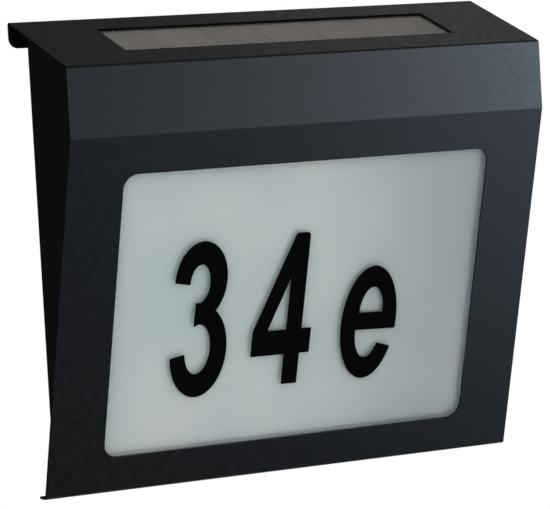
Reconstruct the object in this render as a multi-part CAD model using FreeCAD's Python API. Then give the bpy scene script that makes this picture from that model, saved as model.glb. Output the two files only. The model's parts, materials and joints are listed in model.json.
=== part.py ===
import FreeCAD, Part
import math
import os
from FreeCAD import Placement, Rotation, Vector

# Illuminated house number sign with a solar panel in its sloping top.
# Millimetres. X runs along the width, +Y goes into the wall, +Z is up. The wall is the plane y = 0.
# The origin is midway between the two screw holes of the wall bracket.

# ---------------------------------------------------------------- folded cover
width = 210.0
height = 185.8
depth = 52.0
bottom_depth = 9.3          # from the wall to the lower edge of the sloping face
top_rise = 18.7             # how much higher the top is at the wall than at the front
band_height = 27.3          # upright band under the front edge
sheet = 1.0
bend_radius = 0.3           # inner radius of every fold
flange_drop = 10.6          # hook flange that hangs down behind the bracket
flange_corner = 4.0
lip_depth = 5.6             # lip folded back under the face
tab_width = 16.0
tab_wall_gap = 1.0
cheek_wall_gap = 18.0       # finger gap between a side cheek and the wall
hook_to_top = 28.5          # from the bracket's screw line up to the top edge

window_side_margin = 23.6
window_top_margin = 15.5
window_bottom_margin = 14.6
window_corner = 6.0

# ---------------------------------------------------------------- number window stack
seal_thickness = 0.4
seal_setback = 1.0
pane_thickness = 2.0
pane_overlap = 5.0
spacer_thickness = 0.8
spacer_setback = 3.0
diffuser_thickness = 1.5
pane_clearance = 0.3
pane_corner = 3.0

foil_thickness = 0.3
figure_height = 65.0
three_place = (-42.9, -110.3, 0.0)      # centre, foot line and tilt in degrees on the face
four_place = (-6.2, -108.8, -0.6)
e_place = (32.8, -110.0, -2.2)

# ---------------------------------------------------------------- light box
moulding = 1.6              # wall of every moulded piece
ledge = 3.0                 # seat of the diffuser
box_wall_gap = 1.8
chamber_top_drop = 6.4      # from the face's upper fold down to the chamber's top
ear_width = 12.0
ear_reach = 11.0
ear_rows = (0.22, 0.78)     # share of the window's height where the studs stand
stud_radius = 1.5
stud_end = 1.5              # what stands out past the nut
washer_radius = 3.5
washer_thickness = 0.5
nut_across_flats = 5.5
nut_thickness = 2.4
screw_clearance = 0.2
lip_screw_spacing = 120.0
lip_screw_radius = 1.25
lip_screw_head = 2.2
lip_screw_length = 8.0
lip_screw_gap = 0.5         # left at the end of its hole
cross_reach = 1.2
cross_width = 0.5
cross_depth = 0.6
thread_play = 0.05
lip_boss_radius = 2.9
pad_radius = 5.0
pad_spacing = 120.0
pad_height = 24.0           # above the chamber's lower end

# ---------------------------------------------------------------- lamps
led_board_length = 118.0
led_board_width = 8.0
board_thickness = 1.6
led_tray_gap = 1.1          # from the board's screw heads to the tray above
led_count = 4
led_spacing = 28.0
led_length = 3.5
led_width = 2.8
led_height = 1.9
small_screw_radius = 1.25
small_screw_head = 2.3
small_head_height = 1.5
small_screw_length = 6.0
led_screw_from_end = 6.0

# ---------------------------------------------------------------- electronics tray
cell_radius = 7.25
cell_length = 48.5
cell_tip_radius = 2.75
cell_tip = 2.0
cell_rounding = 0.6
cell_clearance = 0.4
contact_room = 3.2
contact_sheet = 0.3
contact_width = 9.0
contact_half_height = 3.5
tray_wall_gap = 5.8         # from the wall to the backs of the door and the board cover
board_length = 62.0
board_height = 26.0
board_to_plate = 6.6        # from the board to the cover plate
post_radius = 3.0
post_clearance = 0.6
board_post_inset = 4.0
head_recess = 0.8           # of the screw heads in the board's cover
door_clearance = 0.2
rail = 1.0
grip_count = 5
grip_pitch = 2.4
grip_width = 1.0
grip_depth = 0.6
grip_margin = 8.0
switch_length = 11.0
switch_height = 5.4
switch_depth = 4.6
switch_from_end = 20.0
switch_drop = 4.0
knob_length = 3.6
knob_height = 2.4
knob_proud = 0.5
knob_travel = 3.0
knob_clearance = 0.3
chip_from_end = 14.0
chip_length = 9.0
chip_height = 7.0
chip_depth = 1.6
coil_from_end = 32.0
coil_radius = 3.4
coil_depth = 4.2
capacitor_from_end = 42.0
capacitor_drop = 9.0
capacitor_radius = 3.1
capacitor_length = 5.6

# ---------------------------------------------------------------- solar panel
solar_side_margin = 31.6
solar_front_margin = 14.8
solar_back_margin = 13.8
solar_seal = 0.3
solar_seal_setback = 0.8
solar_glass = 1.8
solar_recess = 0.9          # from the top sheet's outer side down to the glass in the opening
solar_fit = 0.2
solar_film = 0.4
solar_overlap = 4.0
clip_width = 14.0
clip_sheet = 0.8
clip_gap = 0.6
clip_foot = 7.0
clip_arm = 8.0

# ---------------------------------------------------------------- wall bracket
bracket_side_margin = 30.0
bracket_sheet = 1.5
bracket_drop = 12.0         # below the screw line
bracket_bend = 0.6
hook_clearance = 0.3
joggle_height = 3.0
hole_spacing = 120.0
hole_radius = 2.5

# ---------------------------------------------------------------- leads
lead_radius = 0.6
lead_gap = 3.5
lead_bend = 1.6
led_lead_from_end = 14.0
solar_lead_from_end = 22.0
solar_lead_gap = 0.3        # from the film down to the leads' ends
solar_lead_drop = 3.0       # below the control board's upper edge
led_lead_rise = 5.0         # above its lower edge
board_lead_gap = 2.4        # from the board's front to the leads that turn down or up there

# ---------------------------------------------------------------- worked out from the sizes above
half_width = width / 2
top_z = hook_to_top
front_z = top_z - top_rise
ridge_z = front_z - band_height
bottom_z = top_z - height
face_drop = ridge_z - bottom_z
face_lean = math.atan2(depth - bottom_depth, face_drop)
face_length = face_drop / math.cos(face_lean)
top_slope = math.atan2(top_rise, depth)
top_length = depth / math.cos(top_slope)

# planes that pieces are laid out on: local X along the width, local Y up the sheet, local Z outwards
ON_FACE = Placement(Vector(0, -depth, ridge_z), Rotation(Vector(1, 0, 0), 90 + math.degrees(face_lean)))
ON_TOP = Placement(Vector(0, -depth, front_z), Rotation(Vector(1, 0, 0), math.degrees(top_slope)))

window_half = half_width - window_side_margin
window_top = -window_top_margin
window_bottom = window_bottom_margin - face_length
window_height = window_top - window_bottom

pane_half = window_half + pane_overlap
pane_top = window_top + pane_overlap
pane_bottom = window_bottom - pane_overlap
pane_front = -sheet - seal_thickness
pane_back = pane_front - pane_thickness
diffuser_front = pane_back - spacer_thickness
diffuser_back = diffuser_front - diffuser_thickness
seat_back = diffuser_back - moulding
grid = figure_height / 65

solar_half = half_width - solar_side_margin
solar_low = solar_front_margin
solar_high = top_length - solar_back_margin
panel_half = solar_half + solar_overlap
panel_low = solar_low - solar_overlap
panel_high = solar_high + solar_overlap
glass_front = -sheet - solar_seal
film_front = glass_front - solar_glass
film_back = film_front - solar_film

box_half = pane_half + pane_clearance + moulding
box_top = pane_top + pane_clearance + moulding
box_bottom = pane_bottom - pane_clearance - moulding
chamber_half = pane_half - ledge
chamber_back = -box_wall_gap
chamber_top = ridge_z - chamber_top_drop

plate_back = -tray_wall_gap
plate_front = plate_back - moulding
bay_length = cell_length + cell_tip + 2 * contact_room
bay_height = 4 * cell_radius + 3 * cell_clearance
bay_depth = 2 * cell_radius + 2 * cell_clearance
corner_inset = small_screw_head + screw_clearance
board_end_gap = corner_inset + post_radius + post_clearance
board_bay_length = board_length + 2 * board_end_gap
tray_length = bay_length + board_bay_length + 3 * moulding
tray_left = -tray_length / 2
tray_right = tray_length / 2
bay_left = tray_left + moulding
bay_right = bay_left + bay_length
board_bay_left = bay_right + moulding
board_bay_right = tray_right - moulding
tray_bottom = chamber_top
tray_floor = tray_bottom + moulding
tray_ceiling = tray_floor + bay_height
tray_top = tray_ceiling + moulding
bay_front = plate_front - bay_depth
tray_front = bay_front - moulding
board_left = board_bay_left + board_end_gap
board_right = board_left + board_length
board_back = plate_front - board_to_plate
board_front = board_back - board_thickness
board_low = (tray_floor + tray_ceiling - board_height) / 2
board_high = board_low + board_height


def face_point(up, out):
    """The (y, z) of a point that lies up along the face from its upper fold, and out from the sheet."""
    point = ON_FACE.multVec(Vector(0, up, out))
    return point.y, point.z


def up_at_y(y, out):
    """How far up the face, at this distance out, the given y lies."""
    return -(y + depth + out * math.cos(face_lean)) / math.sin(face_lean)


def up_at_z(z, out):
    """How far up the face, at this distance out, the given z lies."""
    return (z - ridge_z + out * math.sin(face_lean)) / math.cos(face_lean)


def top_inside_z(y, inwards):
    """Height of the plane that lies inwards from the top sheet's outer side, over this y."""
    return top_z + y * math.tan(top_slope) - inwards / math.cos(top_slope)


# ---------------------------------------------------------------- shape helpers
def rounded_wire(corners, lift):
    """Closed outline through the corners (a, b) or (a, b, radius), each turned by a tangent arc."""
    count = len(corners)
    edges = []
    joints = []
    for i in range(count):
        here = Vector(corners[i][0], corners[i][1], 0)
        radius = corners[i][2] if len(corners[i]) > 2 else 0.0
        if radius <= 0:
            joints.append((here, None, here))
            continue
        before = Vector(corners[i - 1][0], corners[i - 1][1], 0) - here
        after = Vector(corners[(i + 1) % count][0], corners[(i + 1) % count][1], 0) - here
        before.normalize()
        after.normalize()
        half = before.getAngle(after) / 2
        reach = radius / math.tan(half)
        bisector = before + after
        bisector.normalize()
        middle = here + bisector * (radius / math.sin(half) - radius)
        joints.append((here + before * reach, middle, here + after * reach))
    for i in range(count):
        start, middle, end = joints[i]
        if middle is not None:
            edges.append(Part.Arc(lift(start), lift(middle), lift(end)).toShape())
        following = joints[(i + 1) % count][0]
        if (following - end).Length > 1e-6:
            edges.append(Part.LineSegment(lift(end), lift(following)).toShape())
    return Part.Wire(edges)


def plate(corners, low, high):
    """Flat piece in the local XY plane between two local Z levels."""
    wire = rounded_wire(corners, lambda p: Vector(p.x, p.y, low))
    return Part.Face(wire).extrude(Vector(0, 0, high - low))


def profile(corners, x_low, x_high):
    """A (y, z) outline drawn out along X."""
    wire = rounded_wire(corners, lambda p: Vector(x_low, p.x, p.y))
    return Part.Face(wire).extrude(Vector(x_high - x_low, 0, 0))


def rectangle(x_low, x_high, y_low, y_high, radius=0.0):
    return [(x_low, y_low, radius), (x_high, y_low, radius), (x_high, y_high, radius), (x_low, y_high, radius)]


def box(x_low, x_high, y_low, y_high, z_low, z_high):
    corner = Vector(x_low, y_low, z_low)
    return Part.makeBox(x_high - x_low, y_high - y_low, z_high - z_low, corner)


def rod(radius, start, end):
    start = Vector(*start)
    along = Vector(*end) - start
    return Part.makeCylinder(radius, along.Length, start, along)


def ellipse_plate(centre_x, centre_y, radius_x, radius_y, low, high):
    """Upright elliptic disc in the local XY plane."""
    centre = Vector(centre_x, centre_y, low)
    curve = Part.Ellipse(centre + Vector(0, radius_y, 0), centre + Vector(radius_x, 0, 0), centre)
    return Part.Face(Part.Wire(curve.toShape())).extrude(Vector(0, 0, high - low))


def placed(shape, placement):
    moved = shape.copy()
    moved.Placement = placement.multiply(moved.Placement)
    return moved


def joined(shapes):
    result = shapes[0].fuse(shapes[1:])
    return result.removeSplitter()


def offset_inwards(points, distance):
    """The open line of points moved to its left by a distance, with its corners mitred."""
    lines = []
    for first, second in zip(points, points[1:]):
        run = Vector(second[0] - first[0], second[1] - first[1], 0)
        run.normalize()
        left = Vector(-run.y, run.x, 0)
        lines.append((Vector(first[0], first[1], 0) + left * distance, run))
    moved = [lines[0][0]]
    for (a, run_a), (b, run_b) in zip(lines, lines[1:]):
        cross = run_a.x * run_b.y - run_a.y * run_b.x
        step = ((b.x - a.x) * run_b.y - (b.y - a.y) * run_b.x) / cross
        moved.append(a + run_a * step)
    last, run = lines[-1]
    length = Vector(points[-1][0] - points[-2][0], points[-1][1] - points[-2][1], 0).Length
    moved.append(last + run * length)
    return [(p.x, p.y) for p in moved]


def folded(points, thickness, inner_radius, turns):
    """Closed outline of a folded sheet whose outer side follows the points.

    turns holds +1 where the fold closes towards the left and -1 where it opens.
    """
    outside = inner_radius + thickness
    inner = offset_inwards(points, thickness)
    radii_out = [0] + [outside if turn > 0 else inner_radius for turn in turns] + [0]
    radii_in = [0] + [inner_radius if turn > 0 else outside for turn in turns] + [0]
    outline = [(p[0], p[1], r) for p, r in zip(points, radii_out)]
    outline += [(p[0], p[1], r) for p, r in reversed(list(zip(inner, radii_in)))]
    return outline


def lead(points, bend, radius):
    """Round wire along straight runs joined by tangent arcs."""
    points = [Vector(*p) for p in points]
    edges = []
    start = points[0]
    for before, here, after in zip(points, points[1:], points[2:]):
        back = before - here
        on = after - here
        back.normalize()
        on.normalize()
        half = back.getAngle(on) / 2
        reach = bend / math.tan(half)
        bisector = back + on
        bisector.normalize()
        middle = here + bisector * (bend / math.sin(half) - bend)
        edges.append(Part.LineSegment(start, here + back * reach).toShape())
        edges.append(Part.Arc(here + back * reach, middle, here + on * reach).toShape())
        start = here + on * reach
    edges.append(Part.LineSegment(start, points[-1]).toShape())
    path = Part.Wire(edges)
    section = Part.Wire(Part.Circle(points[0], points[1] - points[0], radius).toShape())
    return path.makePipeShell([section], True, False)


parts = {}

# ---------------------------------------------------------------- cover, cheeks
sheet_line = [
    (0, top_z - flange_drop),
    (0, top_z),
    (-depth, front_z),
    (-depth, ridge_z),
    (-bottom_depth, bottom_z),
    (-bottom_depth + lip_depth, bottom_z),
]
inner_line = offset_inwards(sheet_line, sheet)


def lip_screw_y():
    face_inside = inner_line[4][0]
    return (face_inside - tab_wall_gap) / 2


def make_cover():
    cover = profile(folded(sheet_line, sheet, bend_radius, [1, 1, 1, 1]), -half_width, half_width)
    for side in (-1, 1):
        middle = side * lip_screw_spacing / 2
        tab = box(
            middle - tab_width / 2, middle + tab_width / 2,
            -bottom_depth + lip_depth - sheet, -tab_wall_gap, bottom_z, bottom_z + sheet,
        )
        cover = joined([cover, tab])
    window = plate(
        rectangle(-window_half, window_half, window_bottom, window_top, window_corner), -2 * sheet, sheet
    )
    solar_window = plate(rectangle(-solar_half, solar_half, solar_low, solar_high), -2 * sheet, sheet)
    cover = cover.cut([placed(window, ON_FACE), placed(solar_window, ON_TOP)])
    for side in (-1, 1):
        centre_x = side * (half_width - flange_corner)
        low = top_z - flange_drop
        square = box(
            min(centre_x, side * half_width), max(centre_x, side * half_width),
            -2 * sheet, sheet, low, low + flange_corner,
        )
        round_rod = rod(flange_corner, (centre_x, -3 * sheet, low + flange_corner),
                        (centre_x, 2 * sheet, low + flange_corner))
        cover = cover.cut(square.cut(round_rod))
        middle = side * lip_screw_spacing / 2
        sink = Part.makeCone(
            lip_screw_head + screw_clearance, lip_screw_radius + screw_clearance, sheet,
            Vector(middle, lip_screw_y(), bottom_z),
        )
        cover = cover.cut(sink)
    return cover


def make_cheek(side):
    """Flat side sheet, welded in behind the top, the band and the face, flush with their ends."""
    back = -cheek_wall_gap
    lower = face_point(up_at_y(back, -sheet), -sheet)
    outline = [
        (back, top_inside_z(back, sheet)),
        (inner_line[2][0], inner_line[2][1], bend_radius),
        (inner_line[3][0], inner_line[3][1], bend_radius),
        lower,
    ]
    low = side * half_width if side < 0 else half_width - sheet
    return profile(outline, low, low + sheet)


# ---------------------------------------------------------------- number window stack
def pane_outline(grow):
    return rectangle(
        -pane_half - grow, pane_half + grow, pane_bottom - grow, pane_top + grow, pane_corner + grow
    )


def window_outline(grow):
    return rectangle(
        -window_half - grow, window_half + grow, window_bottom - grow, window_top + grow, window_corner
    )


def make_frame(setback, front, back):
    """Flat frame the size of the pane, open a little wider than the window."""
    solid = plate(pane_outline(0), back, front)
    return solid.cut(plate(window_outline(setback), back - 1, front + 1))


def on_pane(shape, place):
    """Stand a figure on the pane: its own origin is the middle of its foot line."""
    spot = Placement(Vector(place[0], place[1], pane_front), Rotation(Vector(0, 0, 1), place[2]))
    return placed(shape, ON_FACE.multiply(spot))


def grid_plate(corners, low, high):
    """A plate whose corners lie on the figures' grid, which has 65 units to a figure's height."""
    return plate([tuple(grid * value for value in corner) for corner in corners], low, high)


def grid_oval(centre_x, centre_y, radius_x, radius_y, low, high):
    return ellipse_plate(grid * centre_x, grid * centre_y, grid * radius_x, grid * radius_y, low, high)


def make_three():
    """Two upright bowls, the upper one narrower, open on the left and meeting in a short bar."""
    foil = foil_thickness
    bowls = grid_oval(0, 19.2, 12.4, 19.2, 0, foil).fuse(grid_oval(-1, 48.4, 11.4, 16.5, 0, foil))
    eyes = [grid_oval(-0.5, 20.1, 5.6, 10.4, -1, 1), grid_oval(-1.4, 47.4, 4.4, 8.0, -1, 1)]
    mouth = [(-15, 16.6), (-5.9, 18.4), (-1, 20.1), (-2.9, 30.2), (-2.7, 39.4), (-1.4, 47.4), (-5.9, 47.3),
             (-15, 49.0)]
    return bowls.cut(eyes + [grid_plate(mouth, -1, 1)]).removeSplitter()


def make_four():
    """Upright stem, level bar and slanted stroke, with a three-cornered eye."""
    stem_left, stem_right, bar_low, bar_high, half = 1.9, 8.8, 12.8, 23.2, 13.2
    head = 63.7
    outline = [
        (stem_left, 0), (stem_right, 0), (stem_right, bar_low), (half, bar_low), (half, bar_high),
        (stem_right, bar_high), (stem_right, head, 1.6), (2.7, head, 1.6), (-half, bar_high, 0.8),
        (-half, bar_low), (stem_left, bar_low),
    ]
    eye = [(stem_left, 45.4), (-6.7, bar_high), (stem_left, bar_high)]
    return grid_plate(outline, 0, foil_thickness).cut(grid_plate(eye, -1, 1))


def make_e():
    """Tall oval with a half-round eye over a level bar, and a mouth on the right."""
    centre = 24.0
    bar_low, bar_high = centre - 3.1, centre + 4.2
    oval = grid_oval(0, centre, 12.7, centre, 0, foil_thickness)
    above = grid_plate(rectangle(-20, 20, bar_high, 2 * centre), -1, 1)
    below = grid_plate(rectangle(-20, 20, 0, bar_low), -1, 1)
    eye = grid_oval(0.5, bar_high, 5.4, 10.8, -1, 1).common(above)
    bowl = grid_oval(0.1, centre - 3.3, 5.8, 11.8, -1, 1).common(below)
    mouth = grid_plate(
        [(0, bar_low), (15, bar_low), (15, centre - 11.6), (5.2, centre - 9.1), (0, centre - 9.1)], -1, 1
    )
    return oval.cut([eye, bowl, mouth])


# ---------------------------------------------------------------- light box
def stud_spots():
    """Local (x, y) of each stud on the face: two rows, left and right of the pane."""
    out = box_half + ear_reach / 2
    return [(side * out, window_bottom + share * window_height) for side in (-1, 1) for share in ear_rows]


def lip_screw_spots():
    return [(side * lip_screw_spacing / 2, lip_screw_y()) for side in (-1, 1)]


def tray_screw_spots():
    y = (bay_front + board_front) / 2
    inset = board_end_gap + small_screw_head
    return [(board_bay_left + inset, y), (board_bay_right - inset, y)]


def led_board_y():
    """The board hangs just in front of the tray, so that its screws come up past the tray's front."""
    middle = tray_front - led_tray_gap - small_screw_head
    return middle - led_board_width / 2, middle + led_board_width / 2


def led_screw_spots():
    low, high = led_board_y()
    return [(side * (led_board_length / 2 - led_screw_from_end), (low + high) / 2) for side in (-1, 1)]


def lead_spots(x, y):
    return [(x - lead_gap / 2, y), (x + lead_gap / 2, y)]


led_lead_x = board_right - led_lead_from_end
led_lead_y = board_front - board_lead_gap


def make_light_box():
    rim = rectangle(-box_half, box_half, box_bottom, box_top, pane_corner + moulding)
    solid = placed(plate(rim, seat_back, pane_front), ON_FACE)
    fuse_out = seat_back + moulding / 2
    # the chamber's back runs down to the seat, or as far as the rim's foot where the seat lies shallow
    low_up = max(up_at_y(chamber_back, seat_back), box_bottom)
    shell = [
        face_point(up_at_z(chamber_top, fuse_out), fuse_out),
        (chamber_back, chamber_top),
        (chamber_back, face_point(low_up, seat_back)[1]),
        face_point(low_up, fuse_out),
    ]
    solid = solid.fuse(profile(shell, -chamber_half - moulding, chamber_half + moulding))
    for x, y in stud_spots():
        inner = math.copysign(box_half - moulding / 2, x)
        outer = math.copysign(box_half + ear_reach, x)
        ear = plate(
            rectangle(min(inner, outer), max(inner, outer), y - ear_width / 2, y + ear_width / 2),
            seat_back, seat_back + moulding,
        )
        solid = solid.fuse(placed(ear, ON_FACE))
    for x, y in lip_screw_spots():
        high = face_point(box_bottom + moulding, seat_back)[1]
        solid = solid.fuse(rod(lip_boss_radius, (x, y, bottom_z + sheet), (x, y, high)))
    pocket = plate(pane_outline(pane_clearance), diffuser_back, 0)
    inner_back = chamber_back - moulding
    hollow_high = pane_top - ledge
    hollow_low = pane_bottom + ledge
    low_out = (face_point(hollow_low, 0)[0] - inner_back) / math.cos(face_lean)
    hollow = [
        face_point(hollow_high, diffuser_front),
        face_point(hollow_high, seat_back),
        (face_point(hollow_high, seat_back)[0], chamber_top - moulding),
        (inner_back, chamber_top - moulding),
        (inner_back, face_point(hollow_low, low_out)[1]),
        face_point(hollow_low, diffuser_front),
    ]
    solid = solid.cut([placed(pocket, ON_FACE), profile(hollow, -chamber_half, chamber_half)])
    for x, y in tray_screw_spots():
        low = chamber_top - small_screw_length
        solid = solid.fuse(rod(post_radius, (x, y, low), (x, y, chamber_top - moulding / 2)))
    drills = []
    for x, y in stud_spots():
        low, high = seat_back - moulding, seat_back + 3 * moulding
        drills.append(placed(rod(stud_radius + screw_clearance, (x, y, low), (x, y, high)), ON_FACE))
    for x, y in lip_screw_spots():
        drills.append(rod(lip_screw_radius, (x, y, bottom_z), (x, y, bottom_z + lip_screw_length)))
    for x, y in tray_screw_spots():
        low = chamber_top - small_screw_length
        drills.append(rod(small_screw_radius, (x, y, low), (x, y, chamber_top + 1)))
    for x, y in led_screw_spots():
        drills.append(rod(small_screw_radius, (x, y, chamber_top - 3 * moulding), (x, y, chamber_top + 1)))
    for x, y in lead_spots(led_lead_x, led_lead_y):
        drills.append(rod(2 * lead_radius, (x, y, chamber_top - 2 * moulding), (x, y, chamber_top + 1)))
    return solid.cut(drills).removeSplitter()


def make_studs():
    end = seat_back - washer_thickness - nut_thickness - stud_end
    rods = [rod(stud_radius, (x, y, end), (x, y, -sheet)) for x, y in stud_spots()]
    return placed(Part.makeCompound(rods), ON_FACE)


def hexagon(across_flats):
    corner = across_flats / math.sqrt(3)
    angles = [math.radians(60 * k) for k in range(6)]
    return [(corner * math.cos(angle), corner * math.sin(angle)) for angle in angles]


def make_nuts():
    high = seat_back - washer_thickness
    nuts = []
    for x, y in stud_spots():
        block = plate(hexagon(nut_across_flats), high - nut_thickness, high)
        nut = block.cut(rod(stud_radius + 0.1, (0, 0, high - 2 * nut_thickness), (0, 0, high + 1)))
        nut.translate(Vector(x, y, 0))
        nuts.append(nut)
    return placed(Part.makeCompound(nuts), ON_FACE)


def make_washers():
    rings = []
    for x, y in stud_spots():
        disc = rod(washer_radius, (x, y, seat_back - washer_thickness), (x, y, seat_back))
        hole = rod(stud_radius + screw_clearance, (x, y, seat_back - 2), (x, y, seat_back + 1))
        rings.append(disc.cut(hole))
    return placed(Part.makeCompound(rings), ON_FACE)


def make_lip_screws():
    """Countersunk, flush with the lip's underside, with a cross recess."""
    screws = []
    for x, y in lip_screw_spots():
        head = Part.makeCone(lip_screw_head, lip_screw_radius, sheet, Vector(x, y, bottom_z))
        end = bottom_z + lip_screw_length - lip_screw_gap
        shank = rod(lip_screw_radius - thread_play, (x, y, bottom_z + sheet / 2), (x, y, end))
        screw = head.fuse(shank)
        for half_x, half_y in ((cross_reach, cross_width / 2), (cross_width / 2, cross_reach)):
            recess = box(x - half_x, x + half_x, y - half_y, y + half_y, bottom_z - 1, bottom_z + cross_depth)
            screw = screw.cut(recess)
        screws.append(screw)
    return Part.makeCompound(screws)


def make_pads():
    z = face_point(box_bottom, seat_back)[1] + pad_height
    places = [side * pad_spacing / 2 for side in (-1, 1)]
    return Part.makeCompound([rod(pad_radius, (x, chamber_back, z), (x, 0, z)) for x in places])


def pan_screws(spots, under_head, down):
    """Pan-head screws along Z: head on the plane under_head, shank going up (down=-1) or down (down=1)."""
    screws = []
    for x, y in spots:
        head = rod(small_screw_head, (x, y, under_head), (x, y, under_head + down * small_head_height))
        end = under_head - down * (small_screw_length - 1)
        middle = under_head + down * small_head_height / 2
        shank = rod(small_screw_radius - thread_play, (x, y, middle), (x, y, end))
        screws.append(head.fuse(shank).removeSplitter())
    return Part.makeCompound(screws)


# ---------------------------------------------------------------- lamps
def make_led_board():
    low, high = led_board_y()
    top = chamber_top - moulding
    solid = box(-led_board_length / 2, led_board_length / 2, low, high, top - board_thickness, top)
    drills = [
        rod(small_screw_radius + screw_clearance, (x, y, top - 2 * board_thickness), (x, y, top + 1))
        for x, y in led_screw_spots()
    ]
    return solid.cut(drills)


def make_leds():
    low, high = led_board_y()
    middle = (low + high) / 2
    top = chamber_top - moulding - board_thickness
    chips = []
    for k in range(led_count):
        x = (k - (led_count - 1) / 2) * led_spacing
        chips.append(box(
            x - led_length / 2, x + led_length / 2,
            middle - led_width / 2, middle + led_width / 2, top - led_height, top,
        ))
    return Part.makeCompound(chips)


# ---------------------------------------------------------------- electronics tray
cell_y = plate_front - cell_clearance - cell_radius
cell_z = [tray_floor + cell_clearance + cell_radius + k * (2 * cell_radius + cell_clearance) for k in (0, 1)]
switch_middle = board_right - switch_from_end
switch_z = board_low + switch_drop + switch_height / 2


def board_post_spots():
    """(x, z) of the posts that carry the control board."""
    z = board_high - board_post_inset
    return [(board_left + board_post_inset, z), (board_right - board_post_inset, z)]


def plate_post_spots():
    """(x, z) of the bosses that take the cover plate's screws."""
    low = tray_floor + corner_inset
    return [(board_bay_left + corner_inset, low), (board_bay_right - corner_inset, low)]


def solar_lead_spots():
    return lead_spots(board_left + solar_lead_from_end, board_front - board_lead_gap)


def make_tray():
    solid = box(tray_left, tray_right, tray_front, plate_front, tray_bottom, tray_top)
    bays = [
        box(bay_left, bay_right, bay_front, plate_front + 1, tray_floor, tray_ceiling),
        box(board_bay_left, board_bay_right, bay_front, plate_front + 1, tray_floor, tray_ceiling),
    ]
    solid = solid.cut(bays)
    rail_back = plate_back + rail + door_clearance
    door_low = tray_floor
    door_high = tray_ceiling
    for inside, outside in ((door_low, tray_bottom), (door_high, tray_top)):
        turn = 1 if outside < inside else -1
        wall_z = sorted((inside, outside))
        wall = box(tray_left, bay_right, plate_front - moulding, rail_back, *wall_z)
        lip_z = sorted((inside, inside + turn * rail))
        lip = box(tray_left, bay_right, plate_back + door_clearance, rail_back, *lip_z)
        seat = box(bay_left, bay_right, plate_front - rail, plate_front, *lip_z)
        solid = solid.fuse([wall, lip, seat])
    stop = box(bay_right, board_bay_left, plate_front - moulding, plate_back, tray_bottom, tray_top)
    solid = solid.fuse(stop)
    for x, z in board_post_spots():
        solid = solid.fuse(rod(post_radius, (x, tray_front + moulding / 2, z), (x, board_front, z)))
    for x, z in plate_post_spots():
        solid = solid.fuse(rod(post_radius, (x, tray_front + moulding / 2, z), (x, plate_front, z)))
    drills = []
    for x, z in board_post_spots():
        drills.append(rod(small_screw_radius, (x, tray_front + moulding, z), (x, board_front + 1, z)))
    for x, z in plate_post_spots():
        end = plate_front - small_screw_length
        drills.append(rod(small_screw_radius, (x, end, z), (x, plate_front + 1, z)))
    hole = small_screw_radius + screw_clearance
    for x, y in tray_screw_spots():
        drills.append(rod(hole, (x, y, tray_bottom - 1), (x, y, tray_floor + 1)))
    for x, y in lead_spots(led_lead_x, led_lead_y):
        drills.append(rod(2 * lead_radius, (x, y, tray_bottom - 1), (x, y, tray_floor + 1)))
    for x, y in solar_lead_spots():
        drills.append(rod(2 * lead_radius, (x, y, tray_ceiling - 1), (x, y, tray_top + 1)))
    for z in cell_z:
        y = battery_lead_y()
        drills.append(rod(2 * lead_radius, (bay_right - 1, y, z), (board_bay_left + 1, y, z)))
    return solid.cut(drills).removeSplitter()


def make_cell(z, tip_side):
    """Round cell lying along X: its button end points to the tip side."""
    middle = (bay_left + bay_right) / 2
    start = middle - tip_side * (cell_length + cell_tip) / 2
    shoulder = start + tip_side * cell_length
    can = rod(cell_radius, (start, cell_y, z), (shoulder, cell_y, z))
    can = can.makeFillet(cell_rounding, can.Edges)
    tip = rod(cell_tip_radius, (shoulder - tip_side, cell_y, z), (shoulder + tip_side * cell_tip, cell_y, z))
    return can.fuse(tip).removeSplitter()


def battery_lead_y():
    return board_back - board_thickness / 2


def leaf(wall_x, side, z_low, z_high):
    """Bent leaf in a bay's end: flat on the wall, bowed towards the cell. side points into the bay."""
    reach = contact_room - 0.1
    outline = [
        (0, -contact_width / 2), (contact_sheet, -contact_width / 2), (contact_sheet, -2.6),
        (reach, 0, 0.8), (contact_sheet, 2.6), (contact_sheet, contact_width / 2), (0, contact_width / 2),
        (0, 2.2), (reach - 1.2 * contact_sheet, 0, 0.5), (0, -2.2),
    ]
    solid = plate(outline, z_low, z_high)
    if side < 0:
        solid = solid.mirror(Vector(0, 0, 0), Vector(1, 0, 0))
    solid.translate(Vector(wall_x, cell_y, 0))
    return solid


def make_end_contacts():
    """Two single leaves at the board's end of the bay."""
    half = contact_half_height
    return Part.makeCompound([leaf(bay_right, -1, z - half, z + half) for z in cell_z])


def make_bridge_contact():
    """One leaf at the far end of the bay that joins both cells."""
    return leaf(bay_left, 1, cell_z[0] - contact_half_height, cell_z[1] + contact_half_height)


def make_door():
    """Sliding lid of the battery bay with a thumb groove field on its back."""
    low, high = tray_floor + door_clearance, tray_ceiling - door_clearance
    right = bay_right - door_clearance
    solid = box(tray_left, right, plate_front, plate_back, low, high)
    for k in range(grip_count):
        x = tray_left + grip_margin + grip_pitch * k
        groove = box(
            x, x + grip_width, plate_back - grip_depth, plate_back + 1, low + grip_margin, high - grip_margin
        )
        solid = solid.cut(groove)
    return solid


def make_plate():
    """Lid over the control board with a slot for the switch's knob."""
    left = board_bay_left + door_clearance
    solid = box(left, tray_right, plate_front, plate_back, tray_bottom, tray_top)
    slot_half = knob_length / 2 + knob_travel / 2 + knob_clearance
    slot = box(
        switch_middle - slot_half, switch_middle + slot_half, plate_front - 1, plate_back + 1,
        switch_z - knob_height / 2 - knob_clearance, switch_z + knob_height / 2 + knob_clearance,
    )
    drills = [
        rod(small_screw_radius + screw_clearance, (x, plate_front - 1, z), (x, plate_back + 1, z))
        for x, z in plate_post_spots()
    ]
    sinks = [
        rod(small_screw_head + screw_clearance, (x, plate_back - head_recess, z), (x, plate_back + 1, z))
        for x, z in plate_post_spots()
    ]
    return solid.cut([slot] + drills + sinks)


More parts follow.
